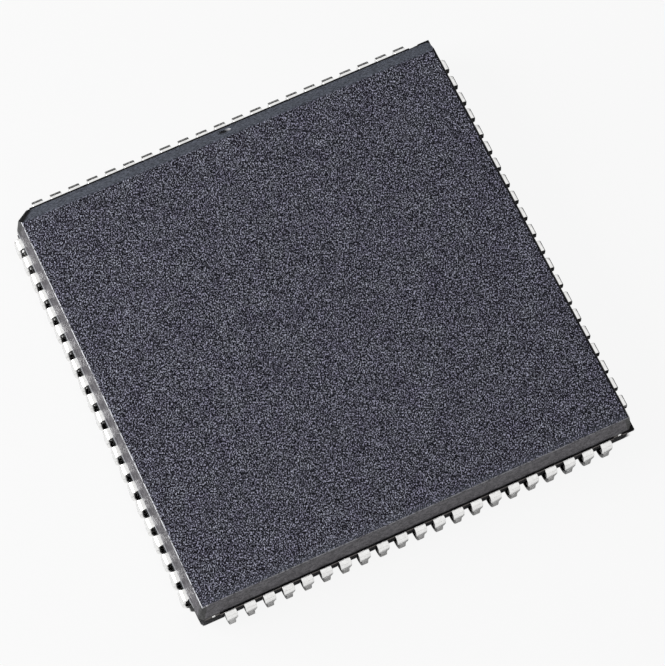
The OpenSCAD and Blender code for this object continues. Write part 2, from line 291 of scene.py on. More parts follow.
def body_ring(body, leads):
    """Points of the skin round the sides, rows by columns, going round the four sides in order.
    Each row is a square outline with bevelled corners whose four sides lie at that row's distances;
    flash stands out between the leads and pockets step in below the roof of the pockets."""
    heights, inset, out, flashes, pocket_high, pocket_out = body_rows(body)
    fixed, pocket = side_columns(body, leads)
    fixed_end = fixed[0]
    rows = len(heights)
    band = np.argmax(flashes)
    corner = []
    for k in range(4):
        here, before = out[:, k], out[:, k - 1]
        leg = body.index_chamfer if k == INDEX_CORNER else body.corner_chamfer
        true_leg = here + before - (2 * body.half - leg - math.sqrt(2) * inset)
        true_leg = np.where((flashes > 0) & (k in EAR_CORNERS), 0, true_leg)
        room = np.minimum(here, before) - fixed_end - 0.12 * MM
        corner.append(np.maximum(np.minimum(true_leg, room), 0.02 * MM))
    step = np.array([0.01, -0.01]) * MM
    parts = []
    for k, side in enumerate(SIDE_NAMES):
        here, before, after = out[:, k], out[:, k - 1], out[:, (k + 1) % 4]
        ends, webs = [], []
        for c, beside in ((k, before), ((k + 1) % 4, after)):
            leg = corner[c]
            soft = np.minimum(body.corner_r, 0.35 * leg)
            edge = np.stack([beside - leg, here], -1)
            on_bevel = edge + np.stack([soft, -soft], -1) * math.sqrt(0.5)
            on_side = edge - np.stack([soft, 0 * soft], -1)
            middle = np.stack([beside - leg / 2, here - leg / 2], -1)
            ear = body.half - body.flash_ear if c in EAR_CORNERS else (on_side[band, 0] + body.flash_half) / 2
            stops = np.concatenate([ear + step, body.flash_half + step])
            shares = (stops - fixed_end) / (on_side[band, 0] - fixed_end)
            slides = np.stack([
                np.stack([fixed_end + f * (on_side[:, 0] - fixed_end), here], -1) for f in shares], 1)
            rounded = np.stack([middle, on_bevel, (on_bevel + 2 * edge + on_side) / 4, on_side], 1)
            ends.append(np.concatenate([rounded, slides], 1))
            webs.append(np.repeat([c in EAR_CORNERS, 0, 1], [5, 2, 1]))
        first, second = ends
        second = second[:, :0:-1] * [-1, 1]
        straight = np.stack(np.broadcast_arrays(fixed[None, :], here[:, None]), -1)
        plan = np.concatenate([first, straight, second], 1)
        in_pocket = np.concatenate([np.zeros(8, bool), pocket, np.zeros(7, bool)])
        web = np.concatenate([webs[0], ~pocket, webs[1][:0:-1]])
        height = np.repeat(heights[:, None], plan.shape[1], 1)
        plan[:, :, 1] += flashes[:, None] * web * body.flash_proud
        plan[:, :4, 0] += flashes[:, None] * webs[0][:4] * body.flash_proud
        plan[:, -3:, 0] -= flashes[:, None] * webs[1][3:0:-1] * body.flash_proud
        low = len(pocket_high)
        height[:low, in_pocket] = pocket_high[:, None]
        plan[:low, in_pocket, 1] = pocket_out[:, None]
        points = np.concatenate([plan, height[:, :, None]], -1)
        if k == BACK:
            points = dimpled(points, body)
        parts.append(turned(points, side))
    return np.concatenate(parts, 1).reshape(rows, -1, 3)


def dimpled(points, body):
    """Points of the pin-one bevel pressed in by a ball: within the dimple's circle a point moves in
    along the bevel's normal by the depth of the ball's cap there."""
    bevel = bevel_lean(body)
    x, z = points[..., 0], points[..., 2]
    along = (z - body.plate_high - body.dimple_rise) / math.cos(bevel)
    ball = (body.dimple_d ** 2 / 4 + body.dimple_depth ** 2) / (2 * body.dimple_depth)
    gap = np.hypot(x, along)
    cap = np.sqrt(np.maximum(ball ** 2 - gap ** 2, 0)) - (ball - body.dimple_depth)
    depth = np.where(z > body.plate_high, np.maximum(cap, 0), 0)
    return points - depth[..., None] * np.array([0, math.cos(bevel), math.sin(bevel)])


def face_patch(border, per_side):
    """Points of a flat face inside a closed border of four equal sides, blended
    between opposite sides (each point is the mean of the two rulings less that of the corners)."""
    n = per_side
    loop = np.concatenate([border, border[:1]])
    back, left = loop[0:n + 1], loop[n:2 * n + 1]
    front, right = loop[2 * n:3 * n + 1][::-1], loop[3 * n:4 * n + 1][::-1]
    u = ((back[:, 0] - back[0, 0]) / (back[-1, 0] - back[0, 0]))[None, :, None]
    v = ((left[:, 1] - left[0, 1]) / (left[-1, 1] - left[0, 1]))[:, None, None]
    points = (1 - v) * back[None] + v * front[None] + (1 - u) * right[:, None] + u * left[:, None]
    points -= (1 - u) * ((1 - v) * back[0] + v * front[0]) + u * ((1 - v) * back[-1] + v * front[-1])
    return points


def frame_numbers(n, border, first):
    """Table of (n + 1) by (n + 1) point numbers: a given border loop and new numbers inside it."""
    table = np.zeros((n + 1, n + 1), int)
    table[1:-1, 1:-1] = first + np.arange((n - 1) ** 2).reshape(n - 1, n - 1)
    loop = np.append(border, border[0])
    table[0], table[:, -1] = loop[0:n + 1], loop[n:2 * n + 1]
    table[-1], table[:, 0] = loop[2 * n:3 * n + 1][::-1], loop[3 * n:4 * n + 1][::-1]
    return table


def zipped(outer, outer_at, inner, inner_at):
    """Triangles between two closed loops, taking the next point of whichever loop comes first."""
    a, b = len(outer), len(inner)
    a_next, b_next = np.append(outer_at[1:], 4.0), np.append(inner_at[1:], 4.0)
    beside_a = np.searchsorted(np.append(inner_at, 4.0), a_next, "right") - 1
    beside_b = np.searchsorted(np.append(outer_at, 4.0), b_next, "left") - 1
    i, j = np.arange(a), np.arange(b)
    return np.concatenate([
        np.stack([outer[i], inner[beside_a % b], outer[(i + 1) % a]], -1),
        np.stack([inner[j], inner[(j + 1) % b], outer[beside_b % a]], -1)])


def underside_grid(body, half, cells):
    """Even grid of the underside with the ejector marks: points near a mark's circle move onto it, and
    those inside lie deeper by the mark's depth."""
    line = np.linspace(half, -half, cells + 1)
    y, x = np.meshgrid(line, line, indexing="ij")
    z = np.full_like(x, body.underside)
    step = 2 * half / cells
    radius, offset = body.ejector_d / 2, body.ejector_spacing / 2
    for sx in (-1, 1):
        for sy in (-1, 1):
            dx, dy = x - sx * offset, y - sy * offset
            gap = np.hypot(dx, dy)
            near = np.abs(gap - radius) < step / 2
            stretch = np.where(near, radius / np.maximum(gap, 1e-9), 1)
            x, y = sx * offset + dx * stretch, sy * offset + dy * stretch
            z = np.where((gap < radius) & ~near, body.underside + body.ejector_depth, z)
    return np.stack([x, y, z], -1)


class CARRIER_OT_mould_body(bpy.types.Operator):
    """Build the skin of the moulded body"""

    bl_idname = "carrier.mould_body"
    bl_label = "Mould body"

    def execute(self, context):
        body, leads = context.scene.carrier_body, context.scene.carrier_leads
        ring = body_ring(body, leads)
        rows, round_count = ring.shape[:2]
        n = round_count // 4
        numbers = np.arange(rows * round_count).reshape(rows, round_count)
        sides = grid_quads(np.concatenate([numbers, numbers[:, :1]], 1))
        top = face_patch(ring[-1], n)
        top_numbers = frame_numbers(n, numbers[-1], ring.size // 3)
        cells, half = 132, body.pocket_inner - 0.35 * MM
        grid = underside_grid(body, half, cells)
        first = ring.size // 3 + (n - 1) ** 2
        grid_numbers = first + np.arange((cells + 1) ** 2).reshape(cells + 1, cells + 1)
        inner = np.concatenate([
            grid_numbers[0, :-1], grid_numbers[:-1, -1], grid_numbers[-1, :0:-1], grid_numbers[:0:-1, 0]])
        inner_at = np.arange(4 * cells) / cells
        border = ring[0].reshape(4, n, 3)
        starts = np.roll(border[:, :1], -1, 0)
        run = np.abs(border - border[:, :1]).max(-1) / np.abs(starts - border[:, :1]).max(-1)
        outer_at = (run + np.arange(4)[:, None]).ravel()
        faces = [
            sides, grid_quads(top_numbers), grid_quads(grid_numbers)[:, ::-1],
            zipped(numbers[0], outer_at, inner, inner_at)]
        points = np.concatenate([ring.reshape(-1, 3), top[1:-1, 1:-1].reshape(-1, 3), grid.reshape(-1, 3)])
        height = ring[:-1, :1, 2]
        on_back = (np.arange(round_count) // n == BACK)[None]
        dull = (height < body.plate_high - 0.001 * MM) | (on_back & (height > body.plate_high + 0.05 * MM))
        middle = (ring[:-1] + ring[1:] + np.roll(ring[:-1], -1, 1) + np.roll(ring[1:], -1, 1)) / 4
        rise = (middle[..., 2] - body.plate_high - body.dimple_rise) / math.cos(bevel_lean(body))
        dull &= (np.hypot(middle[..., 0], rise) > body.dimple_d / 2) | ~on_back
        finishes = np.concatenate([2 * dull.ravel(), np.ones(sum(map(len, faces[1:])), int)])
        materials = [satin_material(context), grain_material(context), matte_material(context)]
        put_mesh("body_skin", points, faces, materials, "moulding", "moulded_body", finishes=finishes)
        return {"FINISHED"}


def lead_path(leads, body):
    """Middle line of a lead from its tip inside the body to the end of its foot, as rows of (place
    along the lead out of the body, height, direction of the outer face as cosine and sine, half width,
    share of the fan-in): a straight finger, an arc at the shoulder, a straight leg, an arc at the foot."""
    half_t = leads.thickness / 2
    mid = (body.plate_low + body.plate_high) / 2
    bend = leads.outer_face - leads.thickness - leads.bend_r
    bend_z = body.plate_low - leads.bend_r
    shoulder, leg, finger, tip = leads.shoulder_w / 2, leads.leg_w / 2, leads.finger_w / 2, leads.tip_w / 2
    step = 0.01 * MM
    flat = np.array([
        [leads.tip_ring, mid, 0, 1, tip, 1],
        [leads.anchor - step, mid, 0, 1, finger, 0],
        [leads.anchor + step, mid, 0, 1, shoulder, 0],
        [body.half, mid, 0, 1, shoulder, 0]])

    def arc(centre, centre_z, radius, start, end, count, width):
        turn = np.linspace(start, end, count)
        cos, sin = np.cos(turn), np.sin(turn)
        return np.stack([
            centre + radius * cos, centre_z + radius * sin, cos, sin, 0 * turn + width, 0 * turn], -1)

    shoulder_arc = arc(bend, bend_z, leads.bend_r + half_t, math.pi / 2, 0, 9, shoulder)
    face = leads.outer_face - half_t
    down = np.array([
        [face, leads.taper_top, 1, 0, shoulder, 0],
        [face, leads.taper_end, 1, 0, leg, 0]])
    foot = arc(leads.outer_face - leads.foot_r, leads.foot_r, leads.foot_r - half_t, 0, -leads.foot_wrap, 25, leg)
    return np.concatenate([flat, shoulder_arc, down, foot])


def plate_section(half_w, half_t, radius):
    """Rounded rectangle of the given half width and half thickness, counterclockwise: four quarter
    circles at the corners, joined by straight lines."""
    turn = np.radians(np.add.outer([0, 90, 180, 270], [0, 30, 60, 90])).ravel()
    sx, sy = np.repeat([1, -1, -1, 1], 4), np.repeat([1, 1, -1, -1], 4)
    across = sx * (half_w[:, None] - radius) + radius * np.cos(turn)
    up = sy * (half_t - radius) + radius * np.sin(turn)
    return across, np.broadcast_to(up, across.shape)


class CARRIER_OT_form_leads(bpy.types.Operator):
    """Carry a rounded plate section along the path of every lead"""

    bl_idname = "carrier.form_leads"
    bl_label = "Form leads"

    def execute(self, context):
        body, leads = context.scene.carrier_body, context.scene.carrier_leads
        path = lead_path(leads, body)
        across, up = plate_section(path[:, 4], leads.thickness / 2, leads.edge_r)
        y = path[:, 0, None] + up * path[:, 2, None]
        z = path[:, 1, None] + up * path[:, 3, None]
        last = (leads.per_side - 1) // 2
        count = np.arange(-last, last + 1)
        middle = count[:, None] * (leads.pitch + (leads.tip_pitch - leads.pitch) * path[None, :, 5])
        x = middle[:, :, None] + across[None]
        points = np.stack(np.broadcast_arrays(x, y[None], z[None]), -1)
        steps, ring = across.shape
        numbers = np.arange(points.size // 3).reshape(len(count), steps, ring)
        closed = np.concatenate([numbers, numbers[:, :, :1]], 2)
        quads = np.stack([closed[:, :-1, :-1], closed[:, 1:, :-1], closed[:, 1:, 1:], closed[:, :-1, 1:]], -1)
        ends = [numbers[:, 0], numbers[:, -1, ::-1]]
        material = tin_material(context)
        for side in SIDE_NAMES:
            put_mesh(
                f"leads_{side}", turned(points, side), [quads.reshape(-1, 4), *ends],
                [material], "tinned_lead", f"lead_row_{side}")
        return {"FINISHED"}


class CARRIER_OT_cut_tie_bars(bpy.types.Operator):
    """Build the sheared ends of the tie bars near the corners of the front and back"""

    bl_idname = "carrier.cut_tie_bars"
    bl_label = "Cut tie bars"

    def execute(self, context):
        body, leads = context.scene.carrier_body, context.scene.carrier_leads
        points, quads = [], []
        round_count, rise_count, power = 16, 9, 0.3
        turn = np.arange(round_count) / round_count * 2 * math.pi
        tilt = np.linspace(-1, 1, rise_count) * (math.pi / 2 - 0.02)

        def rounded(values):
            return np.sign(values) * np.abs(values) ** power

        # Superellipsoid: signed powers of the sines and cosines of a ball's two angles
        x = leads.tie_w / 2 * rounded(np.cos(turn))[None] * rounded(np.cos(tilt))[:, None]
        z = leads.thickness / 2 * rounded(np.sin(turn))[None] * rounded(np.cos(tilt))[:, None]
        y = np.broadcast_to(2 * leads.tie_proud * rounded(np.sin(tilt))[:, None], x.shape)
        numbers = np.arange(x.size).reshape(x.shape)
        closed = np.concatenate([numbers, numbers[:, :1]], 1)
        table = grid_quads(closed)[:, ::-1]
        caps = np.stack([numbers[0], numbers[-1, ::-1]])
        all_caps = []
        for side in ("back", "front"):
            for place in (-leads.tie_x, leads.tie_x):
                first = sum(p.size // 3 for p in points)
                stub_x, stub_y = x, y - leads.tie_proud
                out = body.half
                if side == "back" and place < 0:
                    stub_x, stub_y = (stub_x - stub_y) * math.sqrt(0.5), (stub_x + stub_y) * math.sqrt(0.5)
                    out -= leads.tie_x - (body.half - body.index_chamfer)
                spot = np.stack([stub_x + place, stub_y + out, z + (body.plate_low + body.plate_high) / 2], -1)
                points.append(turned(spot, side).reshape(-1, 3))
                quads.append(table + first)
                all_caps.append(caps + first)
        put_mesh(
            "tie_bar_ends", np.concatenate(points), quads + all_caps,
            [plain_finish("cut_tin", context.scene.carrier_finish.tin, 0.1 * MM, 0.08, 1.0, 0.3)], "copper_frame",
            sharp=50)
        return {"FINISHED"}


def node(tree, kind, values=None, **settings):
    """A shader node with its settings and the values of its inputs, by name or place."""
    made = tree.nodes.new(kind)
    for key, value in settings.items():
        setattr(made, key, value)
    for key, value in (values or {}).items():
        if isinstance(value, bpy.types.NodeSocket):
            tree.links.new(value, made.inputs[key])
        else:
            made.inputs[key].default_value = value
    return made


def blank_material(name):
    """A material with only a Principled shader and its output, and its Object coordinates."""
    material = bpy.data.materials.new(name)
    material.use_nodes = True
    tree = material.node_tree
    tree.nodes.clear()
    shader = node(tree, "ShaderNodeBsdfPrincipled")
    output = node(tree, "ShaderNodeOutputMaterial")
    tree.links.new(shader.outputs["BSDF"], output.inputs["Surface"])
    place = node(tree, "ShaderNodeTexCoord").outputs["Object"]
    return material, tree, shader, place


def mottle_group():
    """Two sizes of noise as one shade from 0 to 1 round a middle of 0.5, drawn apart by the contrast."""
    found = bpy.data.node_groups.get("carrier_mottle")
    if found:
        return found
    group = bpy.data.node_groups.new("carrier_mottle", "ShaderNodeTree")
    for name, kind, default in (
            ("Vector", "NodeSocketVector", None), ("Scale", "NodeSocketFloat", 1000.0),
            ("Fine", "NodeSocketFloat", 0.5), ("Contrast", "NodeSocketFloat", 1.0)):
        socket = group.interface.new_socket(name, in_out="INPUT", socket_type=kind)
        if default is not None:
            socket.default_value = default
    group.interface.new_socket("Shade", in_out="OUTPUT", socket_type="NodeSocketFloat")
    source = node(group, "NodeGroupInput").outputs
    coarse = node(group, "ShaderNodeTexNoise", {
        "Vector": source["Vector"], "Scale": source["Scale"], "Detail": 2.0, "Roughness": 0.55})
    finer = figure(group, "MULTIPLY", source["Scale"], 2.7)
    fine = node(group, "ShaderNodeTexNoise", {
        "Vector": source["Vector"], "Scale": finer, "Detail": 1.0})
    mixed = node(group, "ShaderNodeMix", {
        "Factor": source["Fine"], 2: coarse.outputs["Fac"], 3: fine.outputs["Fac"]})
    low = figure(group, "SUBTRACT", mixed.outputs[0], 0.5)
    drawn = node(group, "ShaderNodeMath", {
        0: low, 1: source["Contrast"], 2: 0.5}, operation="MULTIPLY_ADD", use_clamp=True)
    node(group, "NodeGroupOutput", {"Shade": drawn.outputs[0]})
    return group


def mottle(tree, place, scale, fine, contrast):
    """The mottle group placed in a material: its shade."""
    made = node(tree, "ShaderNodeGroup", node_tree=mottle_group())
    tree.links.new(place, made.inputs["Vector"])
    for key, value in (("Scale", scale), ("Fine", fine), ("Contrast", contrast)):
        made.inputs[key].default_value = value
    return made.outputs["Shade"]


def mapped(tree, value, low, high, to_low=0.0, to_high=1.0):
    """A value mapped smoothly from one span to another."""
    made = node(tree, "ShaderNodeMapRange", {
        "Value": value, "From Min": low, "From Max": high, "To Min": to_low, "To Max": to_high},
        interpolation_type="SMOOTHSTEP")
    return made.outputs["Result"]


def tinted(tree, factor, first, second):
    """A colour between two colours or colour sockets."""
    made = node(tree, "ShaderNodeMix", data_type="RGBA")
    for key, value in (("Factor_Float", factor), ("A_Color", first), ("B_Color", second)):
        socket = next(s for s in made.inputs if s.identifier == key)
        if isinstance(value, bpy.types.NodeSocket):
            tree.links.new(value, socket)
        else:
            socket.default_value = (*value, 1.0) if key != "Factor_Float" else value
    return next(s for s in made.outputs if s.identifier == "Result_Color")


def relief(tree, shader, height, distance, strength=1.0):
    """A bump from a height on the shader's normal."""
    bump = node(tree, "ShaderNodeBump", {"Height": height, "Distance": distance, "Strength": strength})
    tree.links.new(bump.outputs["Normal"], shader.inputs["Normal"])


def axes_of(tree, place):
    """The three parts of a place or direction, by axis."""
    return node(tree, "ShaderNodeSeparateXYZ", {"Vector": place}).outputs


def figure(tree, operation, *values):
    """A value worked out from others by one Math node."""
    return node(tree, "ShaderNodeMath", dict(enumerate(values)), operation=operation).outputs[0]


def product(tree, *values):
    """Values multiplied together."""
    total = values[0]
    for value in values[1:]:
        total = figure(tree, "MULTIPLY", total, value)
    return total


def flash_with_painted_light(tree, context, axes, face):
    """A face colour with the flash below the top of the lead plate, darkened as painted shade at the left and
    right, and a dark band of painted shade along the parting line over it, with a pale painted highlight along it
    at the left; painted shade also darkens the bevels of the corners."""
    body, finish = context.scene.carrier_body, context.scene.carrier_finish
    height = axes["Z"]
    web = product(
        tree, mapped(tree, height, body.plate_low - 0.04 * MM, body.plate_low),
        mapped(tree, height, body.plate_high, body.plate_high - 0.03 * MM))
    # Painted shade: a dark band along the parting line, from the top of the lead plate up
    line = product(
        tree, mapped(tree, height, body.plate_high - 0.04 * MM, body.plate_high - 0.02 * MM),
        mapped(tree, height, body.plate_high + 0.17 * MM, body.plate_high + 0.12 * MM))
    across, along = [figure(tree, "ABSOLUTE", axes[axis]) for axis in "XY"]
    away = figure(tree, "SUBTRACT", axes["Y"], axes["X"])
    beside = figure(tree, "ADD", across, along)
    # Painted shade also darkens the bevels at the corners, the index bevel included
    parting_and_corner_shade = line
    for sum_of, chamfer, soft in (
            (beside, 1.25 * body.corner_chamfer, 0.03 * MM), (away, body.index_chamfer + 0.3 * MM, 0.3 * MM)):
        place = figure(tree, "MULTIPLY_ADD", height, 0.25, sum_of)
        edge = 2 * body.half - chamfer + 0.25 * body.plate_high
        corner = mapped(tree, place, edge - soft, edge)
        parting_and_corner_shade = figure(tree, "MAXIMUM", parting_and_corner_shade, corner)
    # Painted highlight: a pale strip along the parting line on the left side
    left = mapped(tree, axes["X"], 0.5 * MM - body.half, -body.half)
    lip = mapped(tree, axes["X"], -body.half - 0.05 * MM, -body.half - 0.02 * MM)
    lip_highlight = product(tree, left, lip, line, mapped(tree, along, body.half - 0.9 * MM, body.half - 1.0 * MM))
    # Painted shade: the flash darkens near the left and right sides
    flash_shade_sides = mapped(tree, across, body.half - 0.5 * MM, body.half - 0.1 * MM)
    flash_side_shaded = tinted(tree, flash_shade_sides, finish.flash, finish.seam)
    parting_shaded = tinted(tree, parting_and_corner_shade, tinted(tree, web, face, flash_side_shaded), finish.seam)
    return tinted(tree, lip_highlight, parting_shaded, [0.5 * c for c in finish.painted_highlight])


def grain_material(context):
    """Spark-eroded moulding compound: fine craters from dark to pale, in colour and relief, partly the grain's own
    tone and partly painted shade in the pits and painted glints on the peaks, which fade out at the pin-one bevel
    and grow faint at the front, with a dark line of painted shade along the right edge."""
    body, finish = context.scene.carrier_body, context.scene.carrier_finish
    material, tree, shader, place = blank_material("spark_eroded_moulding")
    axes = axes_of(tree, place)
    along = axes["Y"]
    right = body.half - (body.top - body.plate_high) * math.tan(body.side_lean)
    # Painted shade: a dark line along the right edge of the top
    line = mapped(tree, axes["X"], right - 0.15 * MM, right - 0.11 * MM)
    edge = body.half - body.pin_one_bevel
    fade = product(
        tree, mapped(tree, along, edge - 0.18 * MM, edge + 0.02 * MM, 1.0, 0.2),
        mapped(tree, along, 0.9 * MM - body.half, 0.2 * MM - body.half, 1.0, 0.65))
    drawn = node(tree, "ShaderNodeMapping", {
        "Vector": place, "Rotation": (0.0, 0.0, -0.436),
        "Scale": [f * finish.grain for f in (0.85, 1.2, 1.0)]}, vector_type="TEXTURE").outputs[0]
    pits = mottle(tree, drawn, 1.0, 0.2, 3.4)
    crater = node(tree, "ShaderNodeTexVoronoi", {"Vector": drawn, "Scale": 1.6}).outputs
    lot = node(tree, "ShaderNodeSeparateColor", {"Color": crater["Color"]}).outputs[0]
    grain = node(tree, "ShaderNodeMix", {"Factor": 0.3, 2: pits, 3: lot}).outputs[0]
    tone = mapped(tree, grain, 0.445, 1.0)
    cloud = mottle(tree, place, 1 / (1.6 * MM), 0.5, 3.0)
    shades = [[f * c for f, c in zip(tint, finish.peak_and_glint)] for tint in ((0.88, 0.86, 0.92), (1.06, 1.1, 1.04))]
    pale = tinted(tree, cloud, *shades)
    # From dark pits to pale peaks: partly the grain's own tone, partly painted shade and painted glints
    eroded = tinted(tree, tone, finish.pit_and_shade, pale)
    right_edge_shaded = tinted(tree, line, tinted(tree, fade, finish.bevel, eroded), finish.seam)
    tree.links.new(right_edge_shaded, shader.inputs["Base Color"])
    tree.links.new(mapped(tree, grain, 0.0, 1.0, 0.75, 0.5), shader.inputs["Roughness"])
    shader.inputs["Specular IOR Level"].default_value = 0.06
    relief(tree, shader, product(tree, grain, fade), 0.02 * MM)
    return material


def matte_material(context):
    """Finely eroded, matte moulding compound of the pin-one bevel and the lower half, whose far darker colour is
    painted shade, with the painted shade and highlight of the parting line.
    """
    body, finish = context.scene.carrier_body, context.scene.carrier_finish
    material, tree, shader, place = blank_material("matte_moulding")
    axes = axes_of(tree, place)
    speck = mottle(tree, place, 1 / (0.17 * MM), 0.35, 7.0)
    # The lower half is far darker than the bevel: painted shade under the leads
    upper = mapped(tree, axes["Z"], body.plate_low, body.plate_high)
    shades = [[f * c for c in tint] for f in (0.5, 1.5) for tint in (finish.lower, finish.bevel)]
    face = tinted(tree, speck, tinted(tree, upper, *shades[:2]), tinted(tree, upper, *shades[2:]))
    tree.links.new(flash_with_painted_light(tree, context, axes, face), shader.inputs["Base Color"])
    tree.links.new(mapped(tree, speck, 0.0, 1.0, 0.72, 0.6), shader.inputs["Roughness"])
    shader.inputs["Specular IOR Level"].default_value = 0.08
    relief(tree, shader, speck, 0.006 * MM)
    return material


def satin_material(context):
    """Smooth leaning sides: satin moulding compound with dull patches and flash, painted shade along the parting
    line, at the flash near the left and right, on the corner bevels and on the rounded right edge of the top,
    painted highlights along the left and front edges of the top and along the left parting line, and a polished
    dimple with painted shade on its left and a painted glint on its right."""
    body, finish = context.scene.carrier_body, context.scene.carrier_finish
    material, tree, shader, place = blank_material("satin_moulding")
    axes = axes_of(tree, place)
    patch = mottle(tree, place, 1 / (0.3 * MM), 0.5, 4.0)
    face = tinted(tree, patch, [0.5 * c for c in finish.moulding], [1.5 * c for c in finish.moulding])
    face_with_parting_shade = flash_with_painted_light(tree, context, axes, face)
    inside = body.half - 0.8 * MM
    # Painted highlight: a broken bright line on the rounded top edge along the left, fainter along the front
    left = mapped(tree, axes["X"], -inside, -inside - 0.2 * MM)
    front = mapped(tree, axes["Y"], -inside, -inside - 0.2 * MM, 0.0, 0.3)
    side = figure(tree, "MAXIMUM", left, front)
    highlight_breaks = mapped(tree, mottle(tree, place, 1 / (0.25 * MM), 0.4, 2.5), 0.15, 0.6)
    rim = mapped(tree, axes["Z"], body.top - body.edge_r, body.top - 0.6 * body.edge_r)
    # Painted shade: a dark rim on the rounded top edge along the right
    shade = product(tree, mapped(tree, axes["X"], inside, inside + 0.2 * MM), rim)
    right_edge_shaded = tinted(tree, shade, face_with_parting_shade, finish.seam)
    edge_highlighted = tinted(tree, product(tree, side, highlight_breaks, rim), right_edge_shaded, finish.painted_highlight)
    across = figure(tree, "ABSOLUTE", axes["X"])
    dimple = product(
        tree, mapped(tree, axes["Y"], 0.0, 1 * MM), mapped(tree, across, body.dimple_d, body.dimple_d / 2),
        mapped(tree, axes["Z"], body.plate_high + 0.1 * MM, body.plate_high + 0.2 * MM))
    # Inside the dimple, dark to pale across it: painted shade on its left and a painted glint on its right
    slant = figure(tree, "MULTIPLY_ADD", axes["Y"], 0.7, axes["X"])
    middle = 0.7 * (body.half - body.dimple_rise * math.tan(bevel_lean(body)))
    dimple_shade_and_glint = tinted(
        tree, mapped(tree, slant, middle + 0.12 * MM, middle + 0.5 * MM), [2 * c for c in finish.seam],
        finish.painted_highlight)
    tree.links.new(tinted(tree, dimple, edge_highlighted, dimple_shade_and_glint), shader.inputs["Base Color"])
    rough = mapped(tree, patch, 0.0, 1.0, 0.52, 0.36)
    tree.links.new(
        node(tree, "ShaderNodeMix", {"Factor": dimple, 2: rough, 3: 0.22}).outputs[0], shader.inputs["Roughness"])
    shader.inputs["IOR"].default_value = 1.34
    relief(tree, shader, patch, 0.008 * MM)
    return material


def tin_material(context):
    """Tin plating: bright satin metal with dull patches and a fine orange-peel relief, and a dark band of painted
    shade on the roots of the leads where they leave the body."""
    found = bpy.data.materials.get("tin_plating")
    if found:
        return found
    body, finish = context.scene.carrier_body, context.scene.carrier_finish
    material, tree, shader, place = blank_material("tin_plating")
    patch = mottle(tree, place, 1 / (0.2 * MM), 0.4, 3.5)
    axes = axes_of(tree, place)
    front = figure(tree, "MULTIPLY", axes["Y"], -1.0)
    # Painted shade: a dark band on the root of each lead where it leaves the body, widest on the right
    root = 0.0
    for way, width in ((axes["X"], 0.15), (front, 0.09), (axes["Y"], 0.06)):
        root_shade = product(
            tree, mapped(tree, way, body.half - 0.3 * MM, body.half - 0.2 * MM),
            mapped(tree, way, body.half + (width + 0.015) * MM, body.half + (width - 0.015) * MM))
        root = figure(tree, "MAXIMUM", root_shade, root)
    plating = tinted(tree, patch, finish.tin_dull, finish.tin)
    tree.links.new(tinted(tree, root, plating, finish.seam), shader.inputs["Base Color"])
    shader.inputs["Metallic"].default_value = 1.0
    tree.links.new(mapped(tree, patch, 0.0, 1.0, 0.16, 0.09), shader.inputs["Roughness"])
    peel = mottle(tree, place, 1 / (0.12 * MM), 0.3, 1.5)
    relief(tree, shader, peel, 0.006 * MM)
    return material


def plain_finish(name, tint, size, spread, metallic, rough):
    """A finish of the inner pieces: mottled colour, roughness and a fine relief."""
    material, tree, shader, place = blank_material(name)
    patch = mottle(tree, place, 1 / size, 0.4, 1.5)
    low, high = [c * (1 - spread) for c in tint], [min(1.0, c * (1 + spread)) for c in tint]
    tree.links.new(tinted(tree, patch, low, high), shader.inputs["Base Color"])
    shader.inputs["Metallic"].default_value = metallic
    tree.links.new(mapped(tree, patch, 0.0, 1.0, rough + 0.08, rough - 0.08), shader.inputs["Roughness"])
    relief(tree, shader, patch, 0.01 * size)
    return material


class CARRIER_OT_dress_inside(bpy.types.Operator):
    """Finish the lead frame, die, adhesive and wires inside the body"""

    bl_idname = "carrier.dress_inside"
    bl_label = "Dress inside"

    def execute(self, context):
        finish = context.scene.carrier_finish
        gold = plain_finish("gold_wire", finish.gold, 0.02 * MM, 0.06, 1.0, 0.25)
        dressed = {
            "die_paddle": plain_finish("copper_frame", finish.copper, 0.2 * MM, 0.12, 1.0, 0.38),
            "die_attach": plain_finish("die_adhesive", finish.adhesive, 0.05 * MM, 0.2, 0.3, 0.55),
            "silicon_die": plain_finish("silicon_die", finish.silicon, 0.4 * MM, 0.15, 0.6, 0.22),
            **{f"bond_wires_{side}": gold for side in SIDE_NAMES}}
        for name, material in dressed.items():
            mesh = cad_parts[name].data
            mesh.materials.clear()
            mesh.materials.append(material)
        return {"FINISHED"}


def softbox(name, place, width, height, power):
    """A rectangular soft light aimed at the middle of the part."""
    lamp = bpy.data.lights.new(name, "AREA")
    lamp.shape, lamp.size, lamp.size_y, lamp.energy = "RECTANGLE", width, height, power
    light = bpy.data.objects.new(name, lamp)
    light.location = place
    light.rotation_euler = (-Vector(place)).to_track_quat("-Z", "Y").to_euler()
    light.visible_camera = False
    bpy.context.scene.collection.objects.link(light)
    return light


